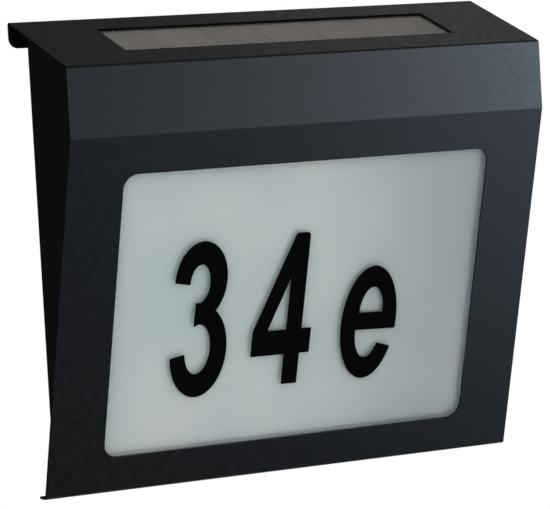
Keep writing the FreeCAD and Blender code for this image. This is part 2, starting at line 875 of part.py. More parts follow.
def back_screws(spots, under_head, length):
    """Pan-head screws along Y whose heads face the wall."""
    screws = []
    for x, z in spots:
        head = rod(small_screw_head, (x, under_head, z), (x, under_head + small_head_height, z))
        middle = under_head + small_head_height / 2
        shank = rod(small_screw_radius - thread_play, (x, middle, z), (x, under_head - length, z))
        screws.append(head.fuse(shank).removeSplitter())
    return Part.makeCompound(screws)


def make_board():
    solid = box(board_left, board_right, board_front, board_back, board_low, board_high)
    drills = [
        rod(small_screw_radius + screw_clearance, (x, board_front - 1, z), (x, board_back + 1, z))
        for x, z in board_post_spots()
    ]
    return solid.cut(drills)


def make_switch_body():
    solid = box(
        switch_middle - switch_length / 2, switch_middle + switch_length / 2,
        board_back, board_back + switch_depth, switch_z - switch_height / 2, switch_z + switch_height / 2,
    )
    half = knob_length / 2 + knob_travel / 2 + knob_clearance
    slot = box(
        switch_middle - half, switch_middle + half,
        board_back + switch_depth / 2, board_back + switch_depth + 1,
        switch_z - knob_height / 2 - knob_clearance, switch_z + knob_height / 2 + knob_clearance,
    )
    return solid.cut(slot)


def make_knob():
    """At rest it stands at the off end of its slot."""
    middle = switch_middle - knob_travel / 2
    solid = box(
        middle - knob_length / 2, middle + knob_length / 2,
        board_back + switch_depth / 2 + knob_clearance, plate_back + knob_proud,
        switch_z - knob_height / 2, switch_z + knob_height / 2,
    )
    for k in (-1, 0, 1):
        x = middle + 1.0 * k
        solid = solid.cut(box(x - 0.2, x + 0.2, plate_back + knob_proud - 0.3, plate_back + 2,
                              switch_z - knob_height, switch_z + knob_height))
    return solid


def make_chip():
    x = board_left + chip_from_end
    low = (board_low + board_high - chip_height) / 2
    return box(x, x + chip_length, board_back, board_back + chip_depth, low, low + chip_height)


def make_coil():
    x = board_left + coil_from_end
    z = (board_low + board_high) / 2
    body = rod(coil_radius, (x, board_back, z), (x, board_back + coil_depth, z))
    flange = coil_depth / 4
    waist = rod(coil_radius + 1, (x, board_back + flange, z), (x, board_back + coil_depth - flange, z))
    core = rod(0.8 * coil_radius, (x, board_back - 1, z), (x, board_back + coil_depth + 1, z))
    return body.cut(waist.cut(core))


def make_capacitor():
    x = board_left + capacitor_from_end
    z = board_high - capacitor_drop
    can = rod(capacitor_radius, (x, board_back, z), (x, board_back + capacitor_length, z))
    return can.makeFillet(0.4, [can.Edges[0], can.Edges[2]])


# ---------------------------------------------------------------- solar panel
def make_solar_seal():
    outer = plate(rectangle(-panel_half, panel_half, panel_low, panel_high, 1.0), glass_front, -sheet)
    half = solar_half + solar_seal_setback
    hole = rectangle(-half, half, solar_low - solar_seal_setback, solar_high + solar_seal_setback)
    return placed(outer.cut(plate(hole, glass_front - 1, 0)), ON_TOP)


def make_solar_glass():
    """Clear cover: a rim behind the top sheet and a raised middle that fills the opening."""
    rim = plate(rectangle(-panel_half, panel_half, panel_low, panel_high, 1.0), film_front, glass_front)
    half = solar_half - solar_fit
    middle = rectangle(-half, half, solar_low + solar_fit, solar_high - solar_fit)
    return placed(rim.fuse(plate(middle, film_front, -solar_recess)).removeSplitter(), ON_TOP)


def make_clip(side):
    """Spot-welded strip, stepped down round the panel's end and back under it."""
    near = panel_half + clip_gap
    low = film_back
    outline = [
        (near + clip_sheet + clip_foot, -sheet), (near + clip_sheet + clip_foot, -sheet - clip_sheet),
        (near + clip_sheet, -sheet - clip_sheet, 0.4), (near + clip_sheet, low - clip_sheet, 1.0),
        (near - clip_arm, low - clip_sheet), (near - clip_arm, low), (near, low, 0.3), (near, -sheet, 1.0),
    ]
    middle = (panel_low + panel_high) / 2
    wire = rounded_wire([(side * c[0],) + tuple(c[1:]) for c in outline],
                        lambda p: Vector(p.x, middle - clip_width / 2, p.y))
    return Part.Face(wire).extrude(Vector(0, clip_width, 0))


# ---------------------------------------------------------------- wall bracket
def make_bracket():
    """Strip screwed to the wall, its upper edge joggled forwards so that the flange drops in behind."""
    half = half_width - bracket_side_margin
    lip_back = -(sheet + hook_clearance)
    lip_front = lip_back - bracket_sheet
    lip_low = top_z - flange_drop - hook_clearance
    lip_high = top_inside_z(lip_front, sheet) - hook_clearance
    body_high = lip_low - joggle_height
    outline = [
        (0, -bracket_drop), (0, body_high, bracket_bend + bracket_sheet),
        (lip_back, lip_low, bracket_bend), (lip_back, lip_high), (lip_front, lip_high),
        (lip_front, lip_low, bracket_bend + bracket_sheet),
        (-bracket_sheet, body_high, bracket_bend), (-bracket_sheet, -bracket_drop),
    ]
    solid = profile(outline, -half, half)
    holes = [
        rod(hole_radius, (side * hole_spacing / 2, -2 * bracket_sheet, 0), (side * hole_spacing / 2, 1, 0))
        for side in (-1, 1)
    ]
    return solid.cut(holes)


# ---------------------------------------------------------------- leads
def make_solar_leads():
    wires = []
    for x, y in solar_lead_spots():
        start = top_inside_z(y, -film_back) - solar_lead_gap
        z = board_high - solar_lead_drop
        wires.append(lead([(x, y, start), (x, y, z), (x, board_front, z)], lead_bend, lead_radius))
    return Part.makeCompound(wires)


def make_led_leads():
    wires = []
    z = board_low + led_lead_rise
    low = chamber_top - moulding - board_thickness / 2
    for x, y in lead_spots(led_lead_x, led_lead_y):
        route = [(x, board_front, z), (x, y, z), (x, y, low), (x, led_board_y()[1], low)]
        wires.append(lead(route, lead_bend / 2, lead_radius))
    return Part.makeCompound(wires)


def make_battery_leads():
    y = battery_lead_y()
    wires = [rod(lead_radius, (bay_right, y, z), (board_left, y, z)) for z in cell_z]
    return Part.makeCompound(wires)


# ---------------------------------------------------------------- every piece
parts["cover_shell"] = make_cover()
parts["side_cheek_left"] = make_cheek(-1)
parts["side_cheek_right"] = make_cheek(1)
parts["pane_seal"] = placed(make_frame(seal_setback, -sheet, pane_front), ON_FACE)
parts["number_pane"] = placed(plate(pane_outline(0), pane_back, pane_front), ON_FACE)
parts["pane_spacer"] = placed(make_frame(spacer_setback, pane_back, diffuser_front), ON_FACE)
parts["opal_diffuser"] = placed(plate(pane_outline(0), diffuser_back, diffuser_front), ON_FACE)
parts["figure_three"] = on_pane(make_three(), three_place)
parts["figure_four"] = on_pane(make_four(), four_place)
parts["letter_e"] = on_pane(make_e(), e_place)
parts["light_box"] = make_light_box()
parts["face_studs"] = make_studs()
parts["stud_washers"] = make_washers()
parts["stud_nuts"] = make_nuts()
parts["lip_screws"] = make_lip_screws()
parts["wall_pads"] = make_pads()
parts["led_board"] = make_led_board()
parts["led_chips"] = make_leds()
parts["led_board_screws"] = pan_screws(led_screw_spots(), chamber_top - moulding - board_thickness, -1)
parts["electronics_tray"] = make_tray()
parts["tray_screws"] = pan_screws(tray_screw_spots(), tray_floor, 1)
parts["battery_cell_lower"] = make_cell(cell_z[0], 1)
parts["battery_cell_upper"] = make_cell(cell_z[1], -1)
parts["battery_end_contacts"] = make_end_contacts()
parts["battery_bridge_contact"] = make_bridge_contact()
parts["battery_door"] = make_door()
parts["control_board"] = make_board()
parts["control_chip"] = make_chip()
parts["charging_coil"] = make_coil()
parts["buffer_capacitor"] = make_capacitor()
parts["switch_body"] = make_switch_body()
parts["switch_knob"] = make_knob()
parts["board_screws"] = back_screws(board_post_spots(), board_back, small_screw_length - board_thickness)
parts["board_cover"] = make_plate()
parts["board_cover_screws"] = back_screws(
    plate_post_spots(), plate_back - head_recess, small_screw_length - moulding
)
parts["solar_seal"] = make_solar_seal()
parts["solar_glass"] = make_solar_glass()
parts["solar_film"] = placed(
    plate(rectangle(-panel_half, panel_half, panel_low, panel_high, 1.0), film_back, film_front), ON_TOP
)
parts["panel_clips"] = placed(Part.makeCompound([make_clip(-1), make_clip(1)]), ON_TOP)
parts["solar_leads"] = make_solar_leads()
parts["led_leads"] = make_led_leads()
parts["battery_leads"] = make_battery_leads()
parts["wall_bracket"] = make_bracket()

os.makedirs("parts", exist_ok=True)
for name, shape in parts.items():
    if not shape.isValid() or not shape.Solids:
        raise ValueError(f"{name} is not a valid solid")
    shape.exportStep(f"parts/{name}.step")
    print(f"{name}: {len(shape.Solids)} solid(s), {shape.Volume:.1f} mm3")
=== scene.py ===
"""The looks of a solar house number sign: its finishes, small fitted details, light and camera.

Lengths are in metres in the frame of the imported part: X runs along the sign, Y towards the wall and Z up,
from a point midway between the two screw holes of the wall bracket.
"""

import json
import math

import bpy
import numpy as np
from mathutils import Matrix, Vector

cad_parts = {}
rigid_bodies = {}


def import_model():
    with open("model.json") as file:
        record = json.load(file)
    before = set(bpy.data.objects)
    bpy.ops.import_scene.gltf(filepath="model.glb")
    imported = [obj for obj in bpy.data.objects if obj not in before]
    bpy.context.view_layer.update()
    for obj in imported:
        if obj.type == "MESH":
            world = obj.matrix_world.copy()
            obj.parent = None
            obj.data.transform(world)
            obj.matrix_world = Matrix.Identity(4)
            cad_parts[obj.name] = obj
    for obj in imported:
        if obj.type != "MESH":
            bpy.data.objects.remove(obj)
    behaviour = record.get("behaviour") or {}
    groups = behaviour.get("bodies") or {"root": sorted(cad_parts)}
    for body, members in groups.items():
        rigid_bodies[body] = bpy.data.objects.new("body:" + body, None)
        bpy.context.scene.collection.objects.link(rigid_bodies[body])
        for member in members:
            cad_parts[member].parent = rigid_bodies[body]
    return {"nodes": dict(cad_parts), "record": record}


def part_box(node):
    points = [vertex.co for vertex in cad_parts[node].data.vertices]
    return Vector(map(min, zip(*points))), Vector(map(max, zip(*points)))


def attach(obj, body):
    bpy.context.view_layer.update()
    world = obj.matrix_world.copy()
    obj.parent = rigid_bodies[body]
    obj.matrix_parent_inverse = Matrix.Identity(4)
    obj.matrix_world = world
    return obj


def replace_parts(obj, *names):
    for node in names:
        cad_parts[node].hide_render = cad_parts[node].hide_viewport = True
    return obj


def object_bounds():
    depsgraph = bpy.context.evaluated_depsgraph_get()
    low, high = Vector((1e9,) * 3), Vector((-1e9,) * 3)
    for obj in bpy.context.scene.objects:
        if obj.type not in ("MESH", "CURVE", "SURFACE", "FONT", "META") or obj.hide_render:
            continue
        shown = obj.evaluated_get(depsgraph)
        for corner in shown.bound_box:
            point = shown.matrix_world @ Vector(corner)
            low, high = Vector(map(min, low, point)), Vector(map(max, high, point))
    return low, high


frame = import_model()
cad_low, cad_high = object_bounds()

MM = 0.001
ALONG_SIGN = np.array([1.0, 0.0, 0.0])
TO_WALL = np.array([0.0, 1.0, 0.0])

# ---------------------------------------------------------------- sizes of the small details
near_plane = 0.02 * MM         # corners this near to a flat side's level lie in that side

film_bond = 0.10 * MM          # how far the film's face lies inside the cover that it is laminated to
strip_width = 12.0 * MM
groove_width = 0.25 * MM       # of a scribed groove's floor; its mouth is twice as wide
groove_depth = 0.08 * MM

bead_width = 0.5 * MM
bead_height = 0.75 * MM
bead_root = 0.1 * MM           # how far the bead reaches down into the solar cover
bead_steps = 9
cover_end = 1.0 * MM           # corners this near to the sign's left or right end aren't the opening's

thread_pitch = 0.5 * MM
thread_depth = 0.28 * MM

rod_sides = 20
rod_rings = 6                  # in one pitch of the thread
rod_tip = 0.75                 # share of its radius that the chamfer leaves at a stud's free end

pan_screws = {                 # node: the way its heads point
    "tray_screws": (0, 0, 1.0),
    "led_board_screws": (0, 0, -1.0),
    "board_screws": (0, 1.0, 0),
    "board_cover_screws": (0, 1.0, 0),
}
screw_sides = 48
screw_rings = 5                # in one pitch of the thread
shank_reach = 0.3 * MM         # the shank's radius is read this near to its end
head_rim = 0.9                 # what is further out than this share of the head's radius is its rim
head_rings = (1.0, 1.0, 0.97, 0.9, *np.linspace(0.84, 0.02, 16))    # shares of the head's radius
head_dome = 0.25               # share of the head's height
head_rounding = 0.1 * MM       # how far the rim's upper edge lies under the dome's foot
cross_slot = 0.14              # half the width of the cross and half its length, as shares of the radius
cross_reach = 0.62
cross_depth = 0.5              # share of the head's height

weld_length = 9.0 * MM
weld_ripple = 1.1 * MM
weld_size = 0.75 * MM
weld_swell = 0.2               # share of the bead's radius that comes and goes with a ripple
weld_taper = 6                 # the higher, the shorter the bead's thin ends
weld_end = 0.02                # share of its radius that is left at its two ends
weld_inset = 0.2 * MM          # from the edge of the cheek
weld_sink = 0.1 * MM           # of the bead's axis into the cheek
weld_rings = 40
weld_sides = 14
weld_shares = (0.5, 0.12, 0.88)    # where the welds lie along a seam; a short seam has the first alone
long_seam = 50.0 * MM
ridge_reach = 0.4 * MM         # the cheek's corners this near to its front lie along the upright band

ejector_rings = [              # (radius, level) of a pin's mark in mm: a low disc inside a burr
    (3.2, -0.3), (3.2, 0.12), (3.05, 0.18), (2.85, 0.18), (2.75, 0.08), (0.02, 0.08),
]
ejector_rows = {               # share of the flat back's height: shares of its width
    0.8: (0.17, 0.34, 0.5, 0.66, 0.83),
    0.2: (0.34, 0.5, 0.66),
}
ejector_sides = 40

# ---------------------------------------------------------------- camera and light
camera_place = (-0.59842, -1.12795, 0.00800)
camera_turn = (86.4765, 3.2164, -28.4081)      # about X, Y and Z, in degrees
camera_lens = 207.1                            # both in mm
sensor_width = 36.0

daylight = 0.45                # light from all round on matt surfaces
room_level = 0.03              # what gloss reflects of the dim parts of the room
bright_parts = {               # what it reflects besides: (direction, cosine at the edge, level)
    "ceiling": ((0.1, 0.3, 0.95), 0.7, 0.17),
    "upper_wall": ((0.40, 0.65, 0.65), 0.8, 0.03),
    "background": ((0.5, 0.6, -0.65), 0.7, 0.7),
}
softboxes = {                  # name: (place, width, height, watts, colour)
    "front_softbox": ((-1.0, -1.1, 0.55), 0.9, 0.9, 12.0, "#ffffff"),
    "back_softbox": ((0.8, 1.3, -0.25), 0.9, 0.9, 9.0, "#ffffff"),
}
window_lights = {              # seen in the gloss of the coat alone
    "near_window": ((0.42, -0.30, 0.05), 0.2, 0.3, 2.15, "#e0efff"),
    "low_window": ((0.50, -0.42, -0.30), 0.28, 0.28, 0.56, "#cfe4ff"),
    "front_window": ((0.30, -0.70, -0.10), 0.2, 0.3, 0.52, "#dcecff"),
    "high_window": ((0.43, 0.37, 0.36), 0.3, 0.3, 0.07, "#ffffff"),
}
cards = {                      # white boards, seen in bare metal alone
    "back_card": ((0.0, 1.5, -0.1), 4.0, 2.5, 26.0, "#ffffff"),
    "top_card": ((0.0, -0.2, 1.5), 2.0, 2.0, 9.0, "#ffffff"),
    "front_card": ((0.0, -1.6, -0.6), 3.0, 2.0, 12.0, "#ffffff"),
}
floor_drop = 1.00              # below the sign's lower edge
floor_size = 1.2
floor_lift = 0.55              # what the camera sees on the floor on top of its light


# ---------------------------------------------------------------- nodes
def linear(text):
    """An sRGB hex colour as linear red, green, blue and full alpha."""
    parts = [int(text[i:i + 2], 16) / 255 for i in (1, 3, 5)]
    curve = [p / 12.92 if p <= 0.04045 else ((p + 0.055) / 1.055) ** 2.4 for p in parts]
    return (*curve, 1.0)


def add(tree, kind, inputs=None, **settings):
    """A new node with these settings, where an input is a value or the socket that feeds it."""
    made = tree.nodes.new(kind)
    for name, value in settings.items():
        setattr(made, name, value)
    for name, value in (inputs or {}).items():
        if isinstance(value, bpy.types.NodeSocket):
            tree.links.new(value, made.inputs[name])
        else:
            made.inputs[name].default_value = value
    return made


def cloud(tree, place, size, low, high, detail=2.0, stretch=(1.0, 1.0, 1.0)):
    """A cloudy value from low to high, with blotches about this size, drawn out along an axis by stretch."""
    vector = add(tree, "ShaderNodeMapping", {"Vector": place, "Scale": stretch}).outputs["Vector"]
    noise = add(tree, "ShaderNodeTexNoise", {"Vector": vector, "Scale": 1 / size, "Detail": detail})
    spread = {"Value": noise.outputs["Fac"], "From Min": 0.3, "From Max": 0.7, "To Min": low, "To Max": high}
    return add(tree, "ShaderNodeMapRange", spread).outputs["Result"]


# ---------------------------------------------------------------- finishes
def surface(name, roughness, ior=1.5, specular=0.5, metallic=0.0, transmission=0.0):
    """An empty finish: the material, its tree, its shader and the place on the object."""
    material = bpy.data.materials.new(name)
    material.use_nodes = True
    tree = material.node_tree
    tree.nodes.clear()
    shader = add(tree, "ShaderNodeBsdfPrincipled", {
        "Roughness": roughness, "IOR": ior, "Specular IOR Level": specular, "Metallic": metallic,
        "Transmission Weight": transmission,
    })
    add(tree, "ShaderNodeOutputMaterial", {"Surface": shader.outputs["BSDF"]})
    place = add(tree, "ShaderNodeTexCoord").outputs["Object"]
    return material, tree, shader, place


def paint(tree, shader, ground, *coats):
    """Colours the surface: each coat lies over what is under it as thick as its share from 0 to 1 says."""
    colour = linear(ground) if isinstance(ground, str) else ground
    for share, coat in coats:
        layers = {0: share, 6: colour, 7: linear(coat)}
        colour = add(tree, "ShaderNodeMix", layers, data_type="RGBA").outputs[2]
    tree.links.new(colour, shader.inputs["Base Color"])


def mottle(tree, shader, place, size, ground, coat, **cloudiness):
    """Colours the surface in blotches about this size, from the ground's colour to the coat's."""
    paint(tree, shader, ground, (cloud(tree, place, size, 0.0, 1.0, **cloudiness), coat))


def dull(tree, shader, place, size, low, high, **cloudiness):
    """Lets the roughness drift from low to high in blotches about this size."""
    tree.links.new(cloud(tree, place, size, low, high, **cloudiness), shader.inputs["Roughness"])


def pimple(tree, shader, place, size, depth, strength, **cloudiness):
    """Raises the surface by up to this depth in bumps about this size."""
    height = cloud(tree, place, size, 0.0, 1.0, **cloudiness)
    bump = add(tree, "ShaderNodeBump", {"Height": height, "Distance": depth, "Strength": strength})
    tree.links.new(bump.outputs["Normal"], shader.inputs["Normal"])


def powder_coated_steel():
    """Polyester powder baked on sheet steel: matt anthracite, with the fine pimples of the melted grains."""
    material, tree, shader, place = surface("powder_coated_steel", 0.5)
    grain = 0.9 * MM           # the real grains are 0.1 to 0.3 mm, too fine to show here
    drift = cloud(tree, place, 28 * MM, 0.25, 0.75)
    speck = cloud(tree, place, grain, 0.0, 0.35, detail=3.0)
    paint(tree, shader, "#040608", (drift, "#060809"), (speck, "#0b0d0f"))
    dull(tree, shader, place, 2.5 * MM, 0.38, 0.50)
    pimple(tree, shader, place, grain, 0.05 * MM, 0.4, detail=3.0)
    return material


def clear_acrylic():
    """Cast acrylic sheet, polished: clear with a faint cool edge and a few wiping marks."""
    material, tree, shader, place = surface("clear_acrylic", 0.03, ior=1.49, transmission=1.0)
    mottle(tree, shader, place, 40 * MM, "#f6fcfc", "#ffffff")
    dull(tree, shader, place, 12 * MM, 0.015, 0.05, stretch=(1, 1, 3))
    return material


def opal_acrylic():
    """Opal acrylic sheet: white filler right through it gives a satin white, with a painted shade that greys
    it towards the right.
    """
    material, tree, shader, place = surface("opal_acrylic", 0.45, ior=1.49)
    drift = cloud(tree, place, 35 * MM, 0.2, 0.8)
    # painted shade: the colour greys towards #bec6c8 from 5 mm to 70 mm along X, standing in for the shade
    # near the window's right edge
    across = add(tree, "ShaderNodeSeparateXYZ", {"Vector": place}).outputs["X"]
    fall = {"Value": across, "From Min": 5 * MM, "From Max": 70 * MM}
    dim = add(tree, "ShaderNodeMapRange", fall, interpolation_type="SMOOTHSTEP").outputs["Result"]
    paint(tree, shader, "#d8e0e1", (drift, "#dfe6e6"), (dim, "#bec6c8"))
    dull(tree, shader, place, 4 * MM, 0.42, 0.5)
    pimple(tree, shader, place, 1.2 * MM, 0.02 * MM, 0.3)
    return material


def black_foil():
    """Cast vinyl foil, cut with a blade: satin black, with the slight orange peel of the film."""
    material, tree, shader, place = surface("black_foil", 0.4, specular=0.05)
    mottle(tree, shader, place, 6 * MM, "#08080b", "#0b0b0e")
    dull(tree, shader, place, 3 * MM, 0.36, 0.46)
    pimple(tree, shader, place, 0.8 * MM, 0.02 * MM, 0.4)
    return material


def white_moulding():
    """Injection-moulded white polystyrene: a fine eroded texture, with faint flow marks."""
    material, tree, shader, place = surface("white_moulding", 0.45, ior=1.59)
    mottle(tree, shader, place, 22 * MM, "#d4d4cf", "#dedfdb", stretch=(0.4, 1, 1))
    dull(tree, shader, place, 3 * MM, 0.38, 0.5)
    pimple(tree, shader, place, 0.7 * MM, 0.03 * MM, 0.5, detail=3.0)
    return material


def grey_moulding():
    """Injection-moulded grey ABS: spark-eroded grain and slightly polished high spots."""
    material, tree, shader, place = surface("grey_moulding", 0.5, ior=1.54)
    mottle(tree, shader, place, 18 * MM, "#303336", "#393c40", stretch=(0.4, 1, 1))
    dull(tree, shader, place, 2 * MM, 0.42, 0.58)
    pimple(tree, shader, place, 0.6 * MM, 0.05 * MM, 0.7, detail=4.0)
    return material


def zinc_plated_steel():
    """Zinc-plated steel with a clear passivation: satin silver, with drawing lines and a faint blue cast."""
    material, tree, shader, place = surface("zinc_plated_steel", 0.34, metallic=1.0)
    mottle(tree, shader, place, 9 * MM, "#b9bcc0", "#c6c8ca")
    dull(tree, shader, place, 1.5 * MM, 0.30, 0.40, stretch=(0.15, 1, 1))
    pimple(tree, shader, place, 0.6 * MM, 0.02 * MM, 0.25, stretch=(0.1, 1, 1))
    return material


def foam_seal():
    """Closed-cell rubber foam: matt black with a skin of small cells."""
    material, tree, shader, place = surface("foam_seal", 0.85, specular=0.25)
    cells = add(tree, "ShaderNodeTexVoronoi", {"Vector": place, "Scale": 1 / (0.8 * MM)}).outputs["Distance"]
    paint(tree, shader, "#121314", (cells, "#1d1f20"))
    bump = add(tree, "ShaderNodeBump", {"Height": cells, "Distance": 0.12 * MM, "Strength": 0.8})
    tree.links.new(bump.outputs["Normal"], shader.inputs["Normal"])
    return material


def rubber_pad():
    """Pressed nitrile rubber: matt charcoal, dusted with fine chalk."""
    material, tree, shader, place = surface("rubber_pad", 0.8, specular=0.3)
    chalk = cloud(tree, place, 2 * MM, 0.0, 0.6, detail=4.0)
    paint(tree, shader, "#1a1a1b", (chalk, "#34353a"))
    pimple(tree, shader, place, 0.5 * MM, 0.04 * MM, 0.6)
    return material


def circuit_board(name, mask, copper):
    """Glass-epoxy board: glossy solder mask, paler where it lies over copper lines, and tinned pads."""
    material, tree, shader, place = surface(name, 0.28, ior=1.55)
    tracks = add(tree, "ShaderNodeTexBrick", {
        "Vector": place, "Scale": 1 / (3.5 * MM), "Mortar Size": 0.12, "Brick Width": 2.3, "Row Height": 0.6,
        "Color1": linear(mask), "Color2": linear(mask), "Mortar": linear(copper),
    }).outputs
    dots = add(tree, "ShaderNodeTexVoronoi", {"Vector": place, "Scale": 1 / (3.2 * MM), "Randomness": 0.6})
    pads = add(tree, "ShaderNodeMapRange", {
        "Value": dots.outputs["Distance"], "From Min": 0.16, "From Max": 0.2, "To Min": 1.0, "To Max": 0.0,
    }).outputs["Result"]
    paint(tree, shader, tracks["Color"], (pads, "#b9b7a8"))
    dull(tree, shader, place, 2 * MM, 0.22, 0.36)
    bump = add(tree, "ShaderNodeBump", {"Height": tracks["Fac"], "Distance": 0.04 * MM, "Strength": 0.6})
    tree.links.new(bump.outputs["Normal"], shader.inputs["Normal"])
    return material


def led_package():
    """Silicone gel with yellow phosphor: it fills the face of a surface-mounted lamp a little unevenly."""
    material, tree, shader, place = surface("led_package", 0.3, ior=1.53)
    gel = cloud(tree, place, 1.5 * MM, 0.0, 1.0)
    paint(tree, shader, "#e9d27a", (gel, "#f1e2a0"))
    bump = add(tree, "ShaderNodeBump", {"Height": gel, "Distance": 0.03 * MM, "Strength": 0.5})
    tree.links.new(bump.outputs["Normal"], shader.inputs["Normal"])
    return material


def cell_sleeve():
    """Heat-shrunk vinyl sleeve on a rechargeable cell: glossy green, with a pale band at its right end."""
    material, tree, shader, place = surface("cell_sleeve", 0.25, ior=1.54)
    band_edge = -24.0 * MM     # X of the band's left edge
    blur = 0.2 * MM            # to either side of that edge
    drift = cloud(tree, place, 10 * MM, 0.0, 1.0)
    along = add(tree, "ShaderNodeSeparateXYZ", {"Vector": place}).outputs["X"]
    rise = {"Value": along, "From Min": band_edge - blur, "From Max": band_edge + blur}
    band = add(tree, "ShaderNodeMapRange", rise).outputs["Result"]
    paint(tree, shader, "#2c6b3f", (drift, "#347a48"), (band, "#c9ced0"))
    dull(tree, shader, place, 5 * MM, 0.2, 0.34)
    pimple(tree, shader, place, 4 * MM, 0.05 * MM, 0.4, stretch=(0.2, 1, 1))
    return material


def nickel_contact():
    """Nickel-plated spring steel, stamped: bright and slightly warm, with fine drawing lines."""
    material, tree, shader, place = surface("nickel_contact", 0.22, metallic=1.0)
    mottle(tree, shader, place, 4 * MM, "#bdb6a8", "#cbc5b8")
    dull(tree, shader, place, 0.8 * MM, 0.16, 0.32, stretch=(1, 1, 0.1))
    return material


def black_component():
    """Glass-filled black nylon and epoxy: matt, with a fine pitted grain."""
    material, tree, shader, place = surface("black_component", 0.6, specular=0.4)
    mottle(tree, shader, place, 1.2 * MM, "#121213", "#202122")
    pimple(tree, shader, place, 0.4 * MM, 0.04 * MM, 0.6)
    return material


def capacitor_can():
    """Dark blue vinyl sleeve, shrunk over a drawn aluminium can."""
    material, tree, shader, place = surface("capacitor_can", 0.3, ior=1.54)
    mottle(tree, shader, place, 3 * MM, "#1d2b45", "#26365a")
    dull(tree, shader, place, 3 * MM, 0.24, 0.36)
    return material


def solar_glass():
    """Moulded clear acrylic, with a front that weather has dulled slightly."""
    material, tree, shader, place = surface("solar_glass", 0.08, ior=1.49, transmission=1.0)
    mottle(tree, shader, place, 30 * MM, "#f3f6f4", "#fbfdfc")
    dull(tree, shader, place, 25 * MM, 0.06, 0.09)
    return material


def film_strips():
    """The film's left edge, the number of strips across it and the width of one."""
    low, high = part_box("solar_film")
    count = round((high.x - low.x) / strip_width)
    return low.x, count, (high.x - low.x) / count


def solar_film():
    """Thin silicon film, scribed into upright strips: a warm brown-grey that differs a little by strip."""
    material, tree, shader, place = surface("solar_film", 0.35, ior=1.6, specular=0.1)
    left, _, width = film_strips()
    along = add(tree, "ShaderNodeSeparateXYZ", {"Vector": place}).outputs["X"]
    from_left = add(tree, "ShaderNodeMath", {0: along, 1: left}, operation="SUBTRACT").outputs[0]
    count = add(tree, "ShaderNodeMath", {0: from_left, 1: width}, operation="DIVIDE").outputs[0]
    number = add(tree, "ShaderNodeMath", {0: count}, operation="FLOOR").outputs[0]
    shade = add(tree, "ShaderNodeTexWhiteNoise", {"W": number}, noise_dimensions="1D").outputs["Value"]
    from_groove = add(tree, "ShaderNodeMath", {0: count, 1: 1.0}, operation="PINGPONG").outputs[0]
    scribe = add(tree, "ShaderNodeMapRange", {
        "Value": from_groove, "From Max": 2 * groove_width / width, "To Min": 0.6, "To Max": 0.0,
    }).outputs["Result"]
    paint(tree, shader, "#898380", (shade, "#8f8986"), (scribe, "#6b6664"))
    dull(tree, shader, place, 8 * MM, 0.3, 0.42)
    return material


def black_sealant_and_shade():
    """Black silicone, run into the joint round the solar cover and smoothed by hand: a soft, oily gloss, its
    black also standing in for the shade in that joint.
    """
    material, tree, shader, place = surface("black_sealant_and_shade", 0.5, ior=1.41, specular=0.2)
    mottle(tree, shader, place, 5 * MM, "#08080a", "#0e0e10")
    dull(tree, shader, place, 3 * MM, 0.42, 0.6)
    pimple(tree, shader, place, 2 * MM, 0.04 * MM, 0.5)
    return material


def lead_insulation(node, axis):
    """Vinyl on two wires that lie apart along an axis: one black and one red, with a soft gloss."""
    material, tree, shader, place = surface(f"lead_insulation_{node}", 0.35, ior=1.53)
    low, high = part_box(node)
    middle = (low + high)["XYZ".index(axis)] / 2
    across = add(tree, "ShaderNodeSeparateXYZ", {"Vector": place}).outputs[axis]
    upper = add(tree, "ShaderNodeMath", {0: across, 1: middle}, operation="GREATER_THAN").outputs[0]
    paint(tree, shader, "#151516", (upper, "#a3201c"))
    dull(tree, shader, place, 2 * MM, 0.3, 0.42)
    return material


finishes = {make.__name__: make() for make in (
    powder_coated_steel, clear_acrylic, opal_acrylic, black_foil, white_moulding, grey_moulding,
    zinc_plated_steel, foam_seal, rubber_pad, led_package, cell_sleeve, nickel_contact, black_component,
    capacitor_can, solar_glass, solar_film, black_sealant_and_shade,
)}
finishes["circuit_board"] = circuit_board("circuit_board", "#14523a", "#2a7354")
finishes["white_circuit_board"] = circuit_board("white_circuit_board", "#e2e4e2", "#d2d4d0")


def dress_nodes():
    """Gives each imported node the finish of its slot, and each pair of leads its two colours."""
    for part in frame["record"]["subparts"]:
        node = part["node"]
        if part["material_slot"] == "lead_insulation":
            finish = lead_insulation(node, "Z" if node == "battery_leads" else "X")
        else:
            finish = finishes[part["material_slot"]]
        for place in frame["nodes"][node].material_slots:
            place.material = finish


# ---------------------------------------------------------------- shapes
def node_points(node):
    """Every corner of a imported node, one row each."""
    mesh = frame["nodes"][node].data
    flat = np.empty(3 * len(mesh.vertices))
    mesh.vertices.foreach_get("co", flat)
    return flat.reshape(-1, 3)


def object_from(name, points, faces, finish):
    """An object with one finish, from an array of points and a list of faces."""
    mesh = bpy.data.meshes.new(name)
    mesh.from_pydata(points.tolist(), [], faces)
    mesh.materials.append(finish)
    made = bpy.data.objects.new(name, mesh)
    bpy.context.scene.collection.objects.link(made)
    return made


def piece_from(name, points, faces, slot, finish=None):
    """A piece that rides on the sign, in the finish of its slot unless another is given."""
    piece = object_from(name, points, faces, finish or finishes[slot])
    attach(piece, "sign")
    return piece


def quads_between(lower, upper, sides):
    """Quads from ring to ring, given the number of each lower and upper ring's first point."""
    here = np.arange(sides)
    after = (here + 1) % sides
    low = lower[:, None]
    high = upper[:, None]
    return np.stack([low + here, low + after, high + after, high + here], axis=2).reshape(-1, 4).tolist()


def tube_faces(rings, sides):
    """Quads between rings of points that turn left about their path, and a flat end on the outer two."""
    starts = sides * np.arange(rings)
    first = list(range(sides))[::-1]
    last = list(range(sides * (rings - 1), sides * rings))
    return [first, last, *quads_between(starts[:-1], starts[1:], sides)]


def drawn_out(outline, start, end):
    """A closed outline of points carried in a straight line from one offset to the other."""
    return np.concatenate([outline + start, outline + end]), tube_faces(2, len(outline))


